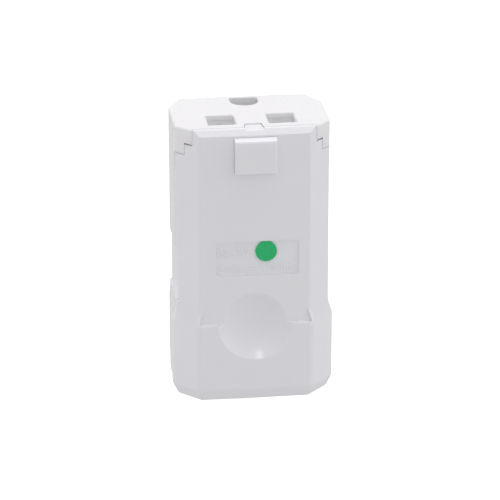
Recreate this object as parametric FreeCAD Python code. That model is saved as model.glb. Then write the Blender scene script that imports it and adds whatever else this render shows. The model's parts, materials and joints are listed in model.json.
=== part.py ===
"""Rewireable cord connector with a hinged front cover, in millimetres.

The part stands on its cord end: z = 0 is the cord end, z = HEIGHT is the face
that the plug's blades enter, the front of the cover looks along -Y, and X = 0
is the plane between the two blade openings.
"""
import FreeCAD
import Part
import math
import os

V = FreeCAD.Vector

# Reach of a cutting box past the part, and overshoot of a cut past a face
FAR = 30.0
OVER = 1.0

# Outer form
HEIGHT = 60.5
HALF_WIDTH = 16.3
HALF_DEPTH = 11.35
FRONT_CHAMFER_X = 4.6
FRONT_CHAMFER_Y = 5.0
REAR_CHAMFER_X = 2.8
REAR_CHAMFER_Y = 5.2
CORNER_RADIUS = 1.2
FLARE = 0.9
FLARE_TOP_Z = 20.2
FLARE_BOTTOM_Z = 17.2
LEDGE_Z = 17.5
LEDGE_HALF_WIDTH_TOP = 10.9
LEDGE_HALF_WIDTH_BOTTOM = 12.0
BASE_BEVEL = [(0.0, 1.55), (0.25, 1.24), (2.17, 0.23), (3.1, 0.0)]
REAR_BAND_HEIGHT = 4.8
REAR_BAND_INSET = 0.4
SIDE_PANEL_BOTTOM_Z = 21.5
SIDE_PANEL_TOP_Z = 33.5
SIDE_PANEL_DEPTH = 0.55

# Walls and the split between the two shells
COVER_WALL = 1.8
SHELL_WALL = 2.0
FLOOR = 2.2
PARTING_Y = -6.0
PARTING_GAP = 0.15
WALL_BITE = 0.6

# Hinge of the cover, at the cord end
HINGE_Y = -7.0
HINGE_Z = 2.3
BARREL_RADIUS = 2.3
BARREL_CLEARANCE = 0.2
KNUCKLE_RADIUS = 1.9
KNUCKLE_IN_X = 8.6
KNUCKLE_OUT_X = 10.8
KNUCKLE_SIDE_GAP = 0.2
KNUCKLE_ROOM = 3.0
KNUCKLE_FOOT_Z = 0.3
WEB_DEPTH = 2.0
HINGE_PIN_RADIUS = 0.8
HINGE_PIN_IN_X = 6.6
HINGE_PIN_OUT_X = 10.0
RUNNING_CLEARANCE = 0.05
SHELL_FLOOR_FRONT_Y = -4.4

# Face
FACE_THICKNESS = 1.2
FACE_PROUD = 0.08
FACE_EDGE_RADIUS = 0.5
FACE_FRONT_Y = -9.45
FACE_GAP = 0.15
EAR_REACH = 0.70
EAR_STEP = 0.39
EAR_INNER_DEPTH = 3.3
EAR_OUTER_DEPTH = 5.8
EAR_INNER_SLIT = 0.35
EAR_OUTER_SLIT = 0.15
EAR_SIDE_GAP = 0.08
SKIRT_DEPTH = 9.6
SKIRT_WALL = 1.6
SKIRT_GAP = 0.1
TONGUE_BACK_Y = -7.05
TONGUE_BACK_WIDTH = 3.4
TONGUE_FRONT_WIDTH = 4.5
TONGUE_SINK = 0.3
TONGUE_THICKNESS = 1.0
TONGUE_GAP = 0.12
TONGUE_UNDER_GAP = 0.25
TONGUE_FRONT_INSET = 0.6
TOP_BEVEL_Y = 1.1
TOP_BEVEL_Z = 1.25
REAR_PANEL_LEFT_X = -6.9
REAR_PANEL_RIGHT_X = 9.9
REAR_PANEL_LIP = 0.5
REAR_PANEL_GAP = 0.1

# Openings for the plug: two parallel blades and a round earth pin
BLADE_SPACING = 12.7
BLADE_Y = -4.1
EARTH_OFFSET = 11.9
EARTH_Y = BLADE_Y + EARTH_OFFSET
BLADE_OPENING_X = 5.9
BLADE_OPENING_Y = 6.5
EARTH_OPENING_WIDTH = 6.0
EARTH_OPENING_BACK_Y = 10.35
EARTH_OPENING_FRONT_Y = 4.8
POCKET_MARGIN = 0.3
POCKET_FLOOR_DEPTH = 3.4
SLOT_FLOOR_DEPTH = 6.5
SLOT_MARGIN = 0.3
BLADE_THICKNESS = 1.5
BLADE_WIDTH = 6.35
EARTH_PIN_RADIUS = 2.4

# Latch in the front wall
LATCH_WIDTH = 8.7
LATCH_TOP_Z = HEIGHT - 1.8
LATCH_BOTTOM_Z = HEIGHT - 9.3
LATCH_PROUD = 1.8
LATCH_PAD_BACK_Y = -10.9
LATCH_ROOT_BACK_Y = -9.8
LATCH_EDGE_RADIUS = 0.4
LATCH_FOOT_BEVEL = 0.3
LATCH_NECK_RISE = 1.0
WINDOW_SIDE_GAP = 0.08
WINDOW_TOP_GAP = 0.12
WINDOW_FOOT_GAP = 0.2
LATCH_AXIS_Y = -10.45
LATCH_AXIS_Z = HEIGHT - 8.6
LATCH_PIN_RADIUS = 0.5
LATCH_PIN_HALF_LENGTH = 5.8
CATCH_FRONT_Y = -9.3
CATCH_BACK_Y = -8.4
CATCH_BOTTOM_Z = HEIGHT - 3.2
CATCH_HALF_WIDTH = 4.2
HOOK_HALF_WIDTH = 1.9
HOOK_BACK_Y = -7.4
HOOK_ROOM = 1.4
HOOK_SIDE_GAP = 0.4
BARB_FRONT_Y = -8.25
BARB_FLAT = 0.25
BARB_TOP_Z = HEIGHT - 2.8
ARM_TOP_Z = HEIGHT - 3.45
ARM_BOTTOM_Z = HEIGHT - 5.2

# Recessed panel with its dot, and the thumb scoop
LABEL_WIDTH = 17.5
LABEL_HEIGHT = 7.7
LABEL_CENTRE_X = 0.5
LABEL_TOP_Z = HEIGHT - 24.7
LABEL_DEPTH = 0.35
LABEL_CORNER = 0.6
DOT_X = 2.3
DOT_Z = HEIGHT - 27.0
DOT_RADIUS = 2.25
DOT_SINK = 0.85
DOT_PROUD = 0.04
SCOOP_Z = 17.5
SCOOP_RADIUS = 8.0
SCOOP_DEPTH = 2.6
SCOOP_WALL = 1.1
SCOOP_BACKING_RADIUS = 5.6

# Insulator that carries the contacts
CARRIER_BOTTOM_Z = 27.5
CARRIER_TOP_Z = HEIGHT - FACE_THICKNESS - 0.05
CARRIER_FRONT_INSET = 2.3
CARRIER_SHELL_GAP = 0.15
TERMINAL_X = 9.15
TERMINAL_Z = 32.8
TERMINAL_POCKET_WIDTH = 7.5
EARTH_POCKET_WIDTH = 7.3
TERMINAL_POCKET_TOP_Z = 38.0
TERMINAL_POCKET_BACK_Y = 2.2
CLIP_CHAMBER_WIDTH = 4.5
CLIP_CHAMBER_MARGIN = 0.4
CLIP_CHAMBER_TOP_Z = HEIGHT - SLOT_FLOOR_DEPTH
SLEEVE_MARGIN = 0.25
EARTH_GROOVE_BOTTOM_Z = 35.5
SHELF_IN_X = 12.6
SHELF_FRONT_Y = -4.0
SHELF_BACK_Y = 4.0
SHELF_HEIGHT = 1.6

# Contacts and their clamping plates
SHEET = 0.7
PLATE_THICKNESS = 1.0
PLATE_FRONT_Y = -4.8
PLATE_WIDTH = 6.6
PLATE_BOTTOM_Z = 29.0
PLATE_TOP_Z = TERMINAL_POCKET_TOP_Z - 0.2
CLIP_BOTTOM_Z = 39.0
CLIP_TOP_Z = 53.6
LEAF_MOUTH_HEIGHT = 2.5
LEAF_FLARE = 0.7
STRAP_BOTTOM_Z = TERMINAL_POCKET_TOP_Z - 1.2
STRAP_IN = 1.4
STRAP_OUT = 2.1
STRAP_OVERLAP = 0.3
SLEEVE_WALL = 0.6
SLEEVE_SLOT_X = 1.2
SLEEVE_SLOT_WIDTH = 0.4
SLEEVE_SLOT_BOTTOM_Z = CLIP_BOTTOM_Z + 4.0
SLEEVE_BACK_GAP_Y = EARTH_Y + 1.9
EARTH_STRAP_HALF_WIDTH = 2.3
EARTH_STRAP_BOTTOM_Z = CLIP_BOTTOM_Z - 2.0
EARTH_STRAP_ROOM = 0.4
NUT_PLATE_THICKNESS = 2.0
NUT_PLATE_WIDTH = 6.6
NUT_PLATE_HEIGHT = 7.2
NUT_PLATE_GAP = 1.8
NUT_PLATE_CORNER = 0.6
NUT_PLATE_GROOVE = 0.3
NUT_PLATE_GROOVE_PITCH = 1.3
TERMINAL_SHANK_RADIUS = 1.5
TERMINAL_HEAD_RADIUS = 3.0
TERMINAL_HEAD_HEIGHT = 1.8
TERMINAL_SCREW_LENGTH = 6.6
TERMINAL_RECESS_REACH = 1.7
HEX_EXTRA_RADIUS = 0.3
HEX_CROWN = 0.5
HEAD_SEAT_GAP = 0.05
RECESS_WIDTH = 0.8
RECESS_DEPTH = 1.1
SLOT_DEPTH = 0.7

# Cord entry and cord clamp
CORD_Y = 2.6
CORD_RADIUS = 5.0
GROMMET_HOLE_RADIUS = 5.8
GROMMET_FLANGE_RADIUS = 6.4
GROMMET_BOTTOM_Z = 0.3
GROMMET_TOP_Z = 4.6
CLAMP_BOTTOM_Z = 9.2
CLAMP_TOP_Z = 14.8
CLAMP_Z = 12.0
CLAMP_SCREW_X = 8.8
CLAMP_BAR_FRONT_Y = -5.5
CLAMP_BAR_BACK_Y = -2.2
CLAMP_BAR_HALF_LENGTH = 11.4
CLAMP_BAR_CORNER = 0.6
CLAMP_HORN_HALF_WIDTH = 5.0
CLAMP_HORN_RISE = 1.6
CLAMP_TROUGH_RADIUS = 5.3
CLAMP_RIB_RISE = 0.5
CLAMP_RIB_WIDTH = 1.2
CLAMP_BOSS_SIDE = 7.0
CLAMP_BOSS_HEIGHT = 6.0
CLAMP_BOSS_FRONT_Y = 1.6
CLAMP_BORE_CLEARANCE = 0.1
CLAMP_BORE_END_Y = 8.0
CLAMP_SHANK_RADIUS = 1.5
CLAMP_HEAD_RADIUS = 2.6
CLAMP_HEAD_HEIGHT = 1.8
CLAMP_SCREW_END_Y = 4.4
CLAMP_NUT_SIDE = 5.0
CLAMP_NUT_FRONT_Y = 2.2
CLAMP_NUT_THICKNESS = 2.2
CLAMP_NUT_GAP = 0.05
CLAMP_RECESS_REACH = 1.5
SADDLE_HALF_WIDTH = 5.3
SADDLE_FRONT_Y = 4.6
SADDLE_SEAT = 0.02


def box(x0, x1, y0, y1, z0, z1):
    """Box between the given limits."""
    return Part.makeBox(x1 - x0, y1 - y0, z1 - z0, V(x0, y0, z0))


def rod_x(radius, x0, x1, y, z):
    """Round bar along X."""
    return Part.makeCylinder(radius, x1 - x0, V(x0, y, z), V(1, 0, 0))


def rod_y(radius, y0, y1, x, z):
    """Round bar along Y."""
    return Part.makeCylinder(radius, y1 - y0, V(x, y0, z), V(0, 1, 0))


def rod_z(radius, z0, z1, x, y):
    """Round bar along Z."""
    return Part.makeCylinder(radius, z1 - z0, V(x, y, z0), V(0, 0, 1))


def slab(points, direction):
    """Prism over a closed polygon, pushed along a vector."""
    wire = Part.makePolygon(points + [points[0]])
    return Part.Face(wire).extrude(direction)


def mirrored(shape):
    """The same piece on the other side of the plane X = 0."""
    return shape.mirror(V(0, 0, 0), V(1, 0, 0))


def edges_along_y(shape):
    """Straight edges of a block that run along Y."""
    return [edge for edge in shape.Edges
            if abs(edge.tangentAt(edge.FirstParameter).y) > 0.9]


def octagon():
    """Corners of the plan, counter-clockwise from the front flat."""
    front_x = HALF_WIDTH - FRONT_CHAMFER_X
    front_y = HALF_DEPTH - FRONT_CHAMFER_Y
    rear_x = HALF_WIDTH - REAR_CHAMFER_X
    rear_y = HALF_DEPTH - REAR_CHAMFER_Y
    return [(-front_x, -HALF_DEPTH), (front_x, -HALF_DEPTH),
            (HALF_WIDTH, -front_y), (HALF_WIDTH, rear_y),
            (rear_x, HALF_DEPTH), (-rear_x, HALF_DEPTH),
            (-HALF_WIDTH, rear_y), (-HALF_WIDTH, -front_y)]


def grown(corners, grow):
    """A convex outline whose sides are moved outwards by the same distance."""
    count = len(corners)
    lines = []
    for i in range(count):
        (x0, y0), (x1, y1) = corners[i], corners[(i + 1) % count]
        length = math.hypot(x1 - x0, y1 - y0)
        nx, ny = (y1 - y0) / length, (x0 - x1) / length
        lines.append((nx, ny, nx * x0 + ny * y0 + grow))
    result = []
    for i in range(count):
        a0, b0, c0 = lines[i - 1]
        a1, b1, c1 = lines[i]
        det = a0 * b1 - a1 * b0
        result.append(((c0 * b1 - c1 * b0) / det, (a0 * c1 - a1 * c0) / det))
    return result


def ring(grow, z):
    """Closed wire of the plan at a height; its corner arcs share the outside's centres."""
    corners = [V(x, y, z) for x, y in grown(octagon(), grow)]
    radius = CORNER_RADIUS + grow
    if radius <= 0:
        return Part.makePolygon(corners + [corners[0]])
    arcs = []
    for i, corner in enumerate(corners):
        before = (corners[i - 1] - corner).normalize()
        after = (corners[(i + 1) % len(corners)] - corner).normalize()
        half = before.getAngle(after) / 2
        start = corner + before * (radius / math.tan(half))
        end = corner + after * (radius / math.tan(half))
        middle_way = (before + after).normalize()
        middle = corner + middle_way * (radius / math.sin(half) - radius)
        arcs.append((start, middle, end))
    edges = []
    for i, (start, middle, end) in enumerate(arcs):
        edges.append(Part.Arc(start, middle, end).toShape())
        edges.append(Part.LineSegment(end, arcs[(i + 1) % len(arcs)][0]).toShape())
    return Part.Wire(edges)


def column(grow, z0, z1):
    """Straight prism over the rounded plan."""
    return Part.Face(ring(grow, z0)).extrude(V(0, 0, z1 - z0))


def outer_form():
    """Whole outside: bevelled base, flared skirt, upper body and front ledge."""
    heights = [(z, FLARE - inset) for z, inset in BASE_BEVEL]
    heights += [(FLARE_BOTTOM_Z, FLARE), (FLARE_TOP_Z, 0), (HEIGHT, 0)]
    body = Part.makeLoft([ring(grow, z) for z, grow in heights], True, True)
    above_ledge = slab([V(-LEDGE_HALF_WIDTH_BOTTOM, -HALF_DEPTH, LEDGE_Z),
                        V(LEDGE_HALF_WIDTH_BOTTOM, -HALF_DEPTH, LEDGE_Z),
                        V(LEDGE_HALF_WIDTH_TOP, -HALF_DEPTH, FLARE_TOP_Z),
                        V(-LEDGE_HALF_WIDTH_TOP, -HALF_DEPTH, FLARE_TOP_Z)],
                       V(0, -FLARE - OVER, 0))
    side_panel = box(-FAR, -HALF_WIDTH + SIDE_PANEL_DEPTH, -FAR, FAR,
                     SIDE_PANEL_BOTTOM_Z, SIDE_PANEL_TOP_Z)
    flush_side = box(HALF_WIDTH, FAR, PARTING_Y, FAR, -OVER, FLARE_TOP_Z)
    return body.cut([above_ledge, side_panel, flush_side, mirrored(flush_side)])


def on_front_chamfer(share):
    """Half width at a share of the front chamfer's length from the side."""
    return HALF_WIDTH - share * FRONT_CHAMFER_X


def tongue_plan(gap, z0, z1):
    """Trapezoid of the cover's tongue, or of its notch with a gap round it."""
    back = TONGUE_BACK_WIDTH / 2 + gap
    front = TONGUE_FRONT_WIDTH / 2 + gap
    points = [V(-front, -HALF_DEPTH - OVER, z0), V(front, -HALF_DEPTH - OVER, z0),
              V(back, TONGUE_BACK_Y + gap, z0), V(-back, TONGUE_BACK_Y + gap, z0)]
    return slab(points, V(0, 0, z1 - z0))


def hinge_knuckle_gaps():
    """Spaces in the cover for the shell's two hinge knuckles."""
    x0, x1 = KNUCKLE_IN_X - KNUCKLE_SIDE_GAP, KNUCKLE_OUT_X + KNUCKLE_SIDE_GAP
    gap = rod_x(BARREL_RADIUS, x0, x1, HINGE_Y, HINGE_Z)
    behind = box(x0, x1, HINGE_Y, HINGE_Y + KNUCKLE_ROOM, -OVER, HINGE_Z + KNUCKLE_ROOM)
    above = box(x0, x1, HINGE_Y - BARREL_RADIUS, HINGE_Y + KNUCKLE_ROOM,
                HINGE_Z, HINGE_Z + KNUCKLE_ROOM)
    one_side = gap.fuse([behind, above])
    return one_side.fuse(mirrored(one_side))


def cover_blank(form):
    """Front part of the outside, hollowed, with its hinge barrel."""
    front = box(-FAR, FAR, -FAR, PARTING_Y - PARTING_GAP / 2, -OVER, HEIGHT + OVER)
    barrel = rod_x(BARREL_RADIUS, -FAR, FAR, HINGE_Y, HINGE_Z)
    below_axis = box(-FAR, FAR, HINGE_Y, 0, -OVER, HINGE_Z + BARREL_RADIUS)
    hollow = column(-COVER_WALL, FLOOR, HEIGHT + OVER)
    wall = form.common(front).cut(hollow)
    wall = wall.cut(below_axis)
    return wall.fuse(form.common(barrel)).removeSplitter()


def cover_top_cuts():
    """Room in the cover for the ears of the face and for the face's front edge."""
    top = HEIGHT + OVER
    cuts = []
    for share, depth, slit in ((EAR_REACH, EAR_INNER_DEPTH, EAR_INNER_SLIT),
                               (EAR_STEP, EAR_OUTER_DEPTH, EAR_OUTER_SLIT)):
        x = on_front_chamfer(share) - EAR_SIDE_GAP
        bottom = HEIGHT - depth - slit
        cuts.append(box(-FAR, -x, -FAR, 0, bottom, top))
        cuts.append(box(x, FAR, -FAR, 0, bottom, top))
    cuts.append(box(-FAR, FAR, FACE_FRONT_Y - FACE_GAP, 0, HEIGHT - EAR_INNER_DEPTH, top))
    return cuts


def top_bevel():
    """Slanted cut along the top edge of the cover's front flat."""
    beyond = OVER * TOP_BEVEL_Z / TOP_BEVEL_Y
    points = [V(-FAR, -HALF_DEPTH - OVER, HEIGHT - TOP_BEVEL_Z - beyond),
              V(-FAR, -HALF_DEPTH + TOP_BEVEL_Y + OVER, HEIGHT + beyond),
              V(-FAR, -HALF_DEPTH - OVER, HEIGHT + beyond)]
    return slab(points, V(2 * FAR, 0, 0))


def latch_window():
    """Window of the latch with the bore of its pin on both sides."""
    half = LATCH_WIDTH / 2 + WINDOW_SIDE_GAP
    window = box(-half, half, -HALF_DEPTH - OVER, -HALF_DEPTH + COVER_WALL + OVER,
                 LATCH_BOTTOM_Z - WINDOW_FOOT_GAP, LATCH_TOP_Z + WINDOW_TOP_GAP)
    bore = rod_x(LATCH_PIN_RADIUS, -LATCH_PIN_HALF_LENGTH, LATCH_PIN_HALF_LENGTH,
                 LATCH_AXIS_Y, LATCH_AXIS_Z)
    return window.fuse(bore)


def label_recess():
    """Shallow rounded panel in the front wall, with the seat of the dot."""
    x0 = LABEL_CENTRE_X - LABEL_WIDTH / 2
    z0 = LABEL_TOP_Z - LABEL_HEIGHT
    panel = box(x0, x0 + LABEL_WIDTH, -HALF_DEPTH - OVER, -HALF_DEPTH + LABEL_DEPTH,
                z0, LABEL_TOP_Z)
    panel = panel.makeFillet(LABEL_CORNER, edges_along_y(panel))
    seat = rod_y(DOT_RADIUS, -HALF_DEPTH, -HALF_DEPTH + DOT_SINK, DOT_X, DOT_Z)
    return panel.fuse(seat)


def thumb_scoop():
    """Ball that presses the thumb scoop into the flared front."""
    radius = (SCOOP_RADIUS ** 2 + SCOOP_DEPTH ** 2) / (2 * SCOOP_DEPTH)
    centre_y = -HALF_DEPTH - FLARE + SCOOP_DEPTH - radius
    return Part.makeSphere(radius, V(0, centre_y, SCOOP_Z))


def scoop_backing():
    """Disc inside the front wall that keeps its thickness behind the scoop."""
    back_y = -HALF_DEPTH - FLARE + SCOOP_DEPTH + SCOOP_WALL
    return rod_y(SCOOP_BACKING_RADIUS, -HALF_DEPTH, back_y, 0, SCOOP_Z)


def front_cover(form):
    """Hinged front shell."""
    body = cover_blank(form).fuse(scoop_backing())
    tongue = tongue_plan(0, HEIGHT - TONGUE_SINK - TONGUE_THICKNESS, HEIGHT - TONGUE_SINK)
    tongue = tongue.common(box(-FAR, FAR, -HALF_DEPTH + TONGUE_FRONT_INSET, 0, 0, HEIGHT))
    body = body.cut(cover_top_cuts() + [top_bevel()])
    body = body.cut(tongue_plan(0, HEIGHT - TONGUE_SINK, HEIGHT + OVER))
    body = body.fuse(tongue.cut(top_bevel()))
    pin = rod_x(HINGE_PIN_RADIUS + RUNNING_CLEARANCE, -KNUCKLE_IN_X, KNUCKLE_IN_X,
                HINGE_Y, HINGE_Z)
    cuts = [hinge_knuckle_gaps(), pin, latch_window(), label_recess(), thumb_scoop()]
    return body.cut(cuts).removeSplitter()


def rear_zone():
    """Space of the rear shell: behind the split and below the face's skirt."""
    front_y = PARTING_Y + PARTING_GAP / 2
    top_z = HEIGHT - SKIRT_DEPTH - SKIRT_GAP
    zone = box(-FAR, FAR, front_y, FAR, -OVER, top_z)
    zone = zone.cut(box(-FAR, FAR, -FAR, SHELL_FLOOR_FRONT_Y, -OVER, HINGE_Z))
    zone = zone.cut(rod_x(BARREL_RADIUS + BARREL_CLEARANCE, -FAR, FAR, HINGE_Y, HINGE_Z))
    panel = box(REAR_PANEL_LEFT_X + REAR_PANEL_GAP, REAR_PANEL_RIGHT_X - REAR_PANEL_GAP,
                HALF_DEPTH - SHELL_WALL, FAR, top_z - OVER, HEIGHT + OVER)
    return zone.fuse(panel)


def shell_knuckle():
    """One hinge knuckle of the rear shell with its web."""
    eye = rod_x(KNUCKLE_RADIUS, KNUCKLE_IN_X, KNUCKLE_OUT_X, HINGE_Y, HINGE_Z)
    web_end = SHELL_FLOOR_FRONT_Y + WEB_DEPTH
    web = box(KNUCKLE_IN_X, KNUCKLE_OUT_X, HINGE_Y, web_end, HINGE_Z, HINGE_Z + KNUCKLE_RADIUS)
    riser = box(KNUCKLE_IN_X, KNUCKLE_OUT_X, SHELL_FLOOR_FRONT_Y, web_end,
                KNUCKLE_FOOT_Z, HINGE_Z + KNUCKLE_RADIUS)
    hole = rod_x(HINGE_PIN_RADIUS, 0, HINGE_PIN_OUT_X, HINGE_Y, HINGE_Z)
    return eye.fuse([web, riser]).cut(hole)


def clamp_boss():
    """Block on the back wall that holds one nut of the cord clamp."""
    half = CLAMP_BOSS_SIDE / 2
    block = box(CLAMP_SCREW_X - half, CLAMP_SCREW_X + half, CLAMP_BOSS_FRONT_Y,
                HALF_DEPTH - SHELL_WALL + WALL_BITE, CLAMP_Z - CLAMP_BOSS_HEIGHT / 2,
                CLAMP_Z + CLAMP_BOSS_HEIGHT / 2)
    half = CLAMP_NUT_SIDE / 2
    nut = box(CLAMP_SCREW_X - half, CLAMP_SCREW_X + half, CLAMP_NUT_FRONT_Y,
              CLAMP_NUT_FRONT_Y + CLAMP_NUT_THICKNESS, CLAMP_Z - half,
              CLAMP_Z + CLAMP_BOSS_HEIGHT)
    return block.cut(nut)


def clamp_bore():
    """Bore of a clamp screw up to its nut, and the square room for its end."""
    radius = CLAMP_SHANK_RADIUS + CLAMP_BORE_CLEARANCE
    bore = rod_y(radius, CLAMP_BOSS_FRONT_Y - OVER, CLAMP_NUT_FRONT_Y + OVER,
                 CLAMP_SCREW_X, CLAMP_Z)
    room = box(CLAMP_SCREW_X - radius, CLAMP_SCREW_X + radius, CLAMP_NUT_FRONT_Y + OVER,
               CLAMP_BORE_END_Y, CLAMP_Z - radius, CLAMP_Z + radius)
    return bore.fuse(room)


def carrier_shelf():
    """Ledge on a side wall that the contact carrier stands on."""
    return box(SHELF_IN_X, HALF_WIDTH - SHELL_WALL + WALL_BITE, SHELF_FRONT_Y, SHELF_BACK_Y,
               CARRIER_BOTTOM_Z - SHELF_HEIGHT, CARRIER_BOTTOM_Z)


def rear_shell(form):
    """Back housing with the hinge knuckles, bosses and the cord entry."""
    band = box(-FAR, FAR, PARTING_Y, FAR, -OVER, REAR_BAND_HEIGHT).cut(
        column(FLARE - REAR_BAND_INSET, -OVER, REAR_BAND_HEIGHT))
    hollow = column(-SHELL_WALL, FLOOR, HEIGHT + OVER)
    body = form.common(rear_zone()).cut([band, hollow])
    parts = []
    for piece in (shell_knuckle(), clamp_boss(), carrier_shelf()):
        parts.append(piece)
        parts.append(mirrored(piece))
    inside = column(-SHELL_WALL + WALL_BITE, 0, HEIGHT)
    body = body.fuse([piece.common(inside) for piece in parts])
    groove_half = EARTH_PIN_RADIUS + SLEEVE_WALL + SLEEVE_MARGIN + REAR_PANEL_GAP
    earth_groove = box(-groove_half, groove_half, 0, EARTH_OPENING_BACK_Y,
                       EARTH_GROOVE_BOTTOM_Z, HEIGHT + OVER)
    lip = box(REAR_PANEL_LEFT_X, REAR_PANEL_RIGHT_X, 0, HALF_DEPTH - REAR_PANEL_LIP,
              HEIGHT - FACE_THICKNESS, HEIGHT + OVER)
    cord = rod_z(GROMMET_HOLE_RADIUS, -OVER, FLOOR + OVER, 0, CORD_Y)
    cuts = [earth_groove, lip, cord, clamp_bore(), mirrored(clamp_bore())]
    return body.cut(cuts).removeSplitter()


def earth_opening(margin, z0, z1):
    """D-shaped opening of the earth pin, its round side to the front."""
    radius = EARTH_OPENING_WIDTH / 2 + margin
    centre_y = EARTH_OPENING_FRONT_Y + EARTH_OPENING_WIDTH / 2
    round_side = rod_z(radius, z0, z1, 0, centre_y)
    straight = box(-radius, radius, centre_y, EARTH_OPENING_BACK_Y, z0, z1)
    in_front = box(-FAR, FAR, -FAR, EARTH_OPENING_BACK_Y, z0, z1)
    return round_side.common(in_front).fuse(straight)


def blade_opening(x, margin, z0, z1):
    """Near-square opening over one blade slot."""
    half_x = BLADE_OPENING_X / 2 + margin
    half_y = BLADE_OPENING_Y / 2 + margin
    return box(x - half_x, x + half_x, BLADE_Y - half_y, BLADE_Y + half_y, z0, z1)


def ear_zone():
    """Space of the face outside the cover: skirts, ears and plate."""
    top = HEIGHT + OVER
    zone = box(-FAR, FAR, PARTING_Y + PARTING_GAP / 2, FAR, HEIGHT - SKIRT_DEPTH, top)
    for share, depth in ((EAR_STEP, EAR_OUTER_DEPTH), (EAR_REACH, EAR_INNER_DEPTH)):
        x = on_front_chamfer(share)
        zone = zone.fuse(box(-FAR, -x, -FAR, PARTING_Y + OVER, HEIGHT - depth, top))
        zone = zone.fuse(box(x, FAR, -FAR, PARTING_Y + OVER, HEIGHT - depth, top))
    plate = box(-FAR, FAR, FACE_FRONT_Y, PARTING_Y + OVER, HEIGHT - FACE_THICKNESS, top)
    return zone.fuse(plate)


def face_block():
    """Face plate with its openings, ears, skirts and the catch of the latch."""
    blank = column(FACE_PROUD, HEIGHT - SKIRT_DEPTH - OVER, HEIGHT)
    rim = [edge for edge in blank.Edges if edge.BoundBox.ZMin > HEIGHT - OVER]
    blank = blank.makeFillet(FACE_EDGE_RADIUS, rim)
    hollow = column(-SKIRT_WALL, 0, HEIGHT - FACE_THICKNESS)
    body = blank.common(ear_zone()).cut(hollow)
    panel = box(REAR_PANEL_LEFT_X, REAR_PANEL_RIGHT_X,
                HALF_DEPTH - SHELL_WALL - REAR_PANEL_GAP, FAR, 0, HEIGHT - FACE_THICKNESS)
    panel_lip = box(REAR_PANEL_LEFT_X, REAR_PANEL_RIGHT_X, HALF_DEPTH - REAR_PANEL_LIP, FAR,
                    0, HEIGHT + OVER)
    catch = box(-CATCH_HALF_WIDTH, CATCH_HALF_WIDTH, CATCH_FRONT_Y, CATCH_BACK_Y,
                CATCH_BOTTOM_Z, HEIGHT - FACE_THICKNESS / 2)
    body = body.cut([panel, panel_lip]).fuse(catch)
    low, high = HEIGHT - FACE_THICKNESS - OVER, HEIGHT + OVER
    notch_z = HEIGHT - TONGUE_SINK - TONGUE_THICKNESS - TONGUE_UNDER_GAP
    cuts = [tongue_plan(TONGUE_GAP, notch_z, high), earth_opening(0, low, high)]
    cuts.append(blade_opening(-BLADE_SPACING / 2, 0, low, high))
    cuts.append(blade_opening(BLADE_SPACING / 2, 0, low, high))
    return body.cut(cuts).removeSplitter()


def latch_pad():
    """Pad of the latch: its top is an arc about the pin, so it clears the window."""
    half = LATCH_WIDTH / 2
    outer_y = -HALF_DEPTH - LATCH_PROUD
    foot = LATCH_FOOT_BEVEL
    swing = math.hypot(-HALF_DEPTH - LATCH_AXIS_Y, LATCH_TOP_Z - LATCH_AXIS_Z)
    root = [V(-half, outer_y, LATCH_TOP_Z), V(-half, outer_y, LATCH_BOTTOM_Z),
            V(-half, LATCH_ROOT_BACK_Y - foot, LATCH_BOTTOM_Z),
            V(-half, LATCH_ROOT_BACK_Y, LATCH_BOTTOM_Z + foot),
            V(-half, LATCH_ROOT_BACK_Y, LATCH_AXIS_Z + LATCH_NECK_RISE - foot),
            V(-half, LATCH_PAD_BACK_Y, LATCH_AXIS_Z + LATCH_NECK_RISE),
            V(-half, LATCH_PAD_BACK_Y, LATCH_TOP_Z + OVER),
            V(-half, outer_y, LATCH_TOP_Z + OVER)]
    pad = slab(root, V(LATCH_WIDTH, 0, 0))
    pad = pad.common(rod_x(swing, -half, half, LATCH_AXIS_Y, LATCH_AXIS_Z))
    rim = [edge for edge in pad.Edges if edge.BoundBox.YMax < outer_y + OVER / 2]
    return pad.makeFillet(LATCH_EDGE_RADIUS, rim)


def latch_tab():
    """Push latch: pad outside, root on the pin and a hooked arm inside."""
    half = LATCH_WIDTH / 2
    pad = latch_pad()
    arm = box(-HOOK_HALF_WIDTH, HOOK_HALF_WIDTH, LATCH_PAD_BACK_Y - WALL_BITE, HOOK_BACK_Y,
              ARM_BOTTOM_Z, ARM_TOP_Z)
    barb_foot_z = ARM_TOP_Z - BARB_FLAT
    barb = slab([V(-HOOK_HALF_WIDTH, BARB_FRONT_Y, barb_foot_z),
                 V(-HOOK_HALF_WIDTH, BARB_FRONT_Y, BARB_TOP_Z),
                 V(-HOOK_HALF_WIDTH, BARB_FRONT_Y + BARB_FLAT, BARB_TOP_Z),
                 V(-HOOK_HALF_WIDTH, HOOK_BACK_Y, barb_foot_z)],
                V(2 * HOOK_HALF_WIDTH, 0, 0))
    bore = rod_x(LATCH_PIN_RADIUS + RUNNING_CLEARANCE, -half - OVER, half + OVER,
                 LATCH_AXIS_Y, LATCH_AXIS_Z)
    return pad.fuse([arm, barb]).cut(bore).removeSplitter()


def latch_pin():
    """Steel pin that the latch rocks on."""
    return rod_x(LATCH_PIN_RADIUS, -LATCH_PIN_HALF_LENGTH, LATCH_PIN_HALF_LENGTH,
                 LATCH_AXIS_Y, LATCH_AXIS_Z)


def green_dot():
    """Round coloured insert in the recessed panel."""
    return rod_y(DOT_RADIUS, -HALF_DEPTH - DOT_PROUD, -HALF_DEPTH + DOT_SINK, DOT_X, DOT_Z)


def hinge_pins():
    """Two pins, pressed into the shell's knuckles, that enter the cover's barrel."""
    pin = rod_x(HINGE_PIN_RADIUS, HINGE_PIN_IN_X, HINGE_PIN_OUT_X, HINGE_Y, HINGE_Z)
    return Part.makeCompound([pin, mirrored(pin)])


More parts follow.
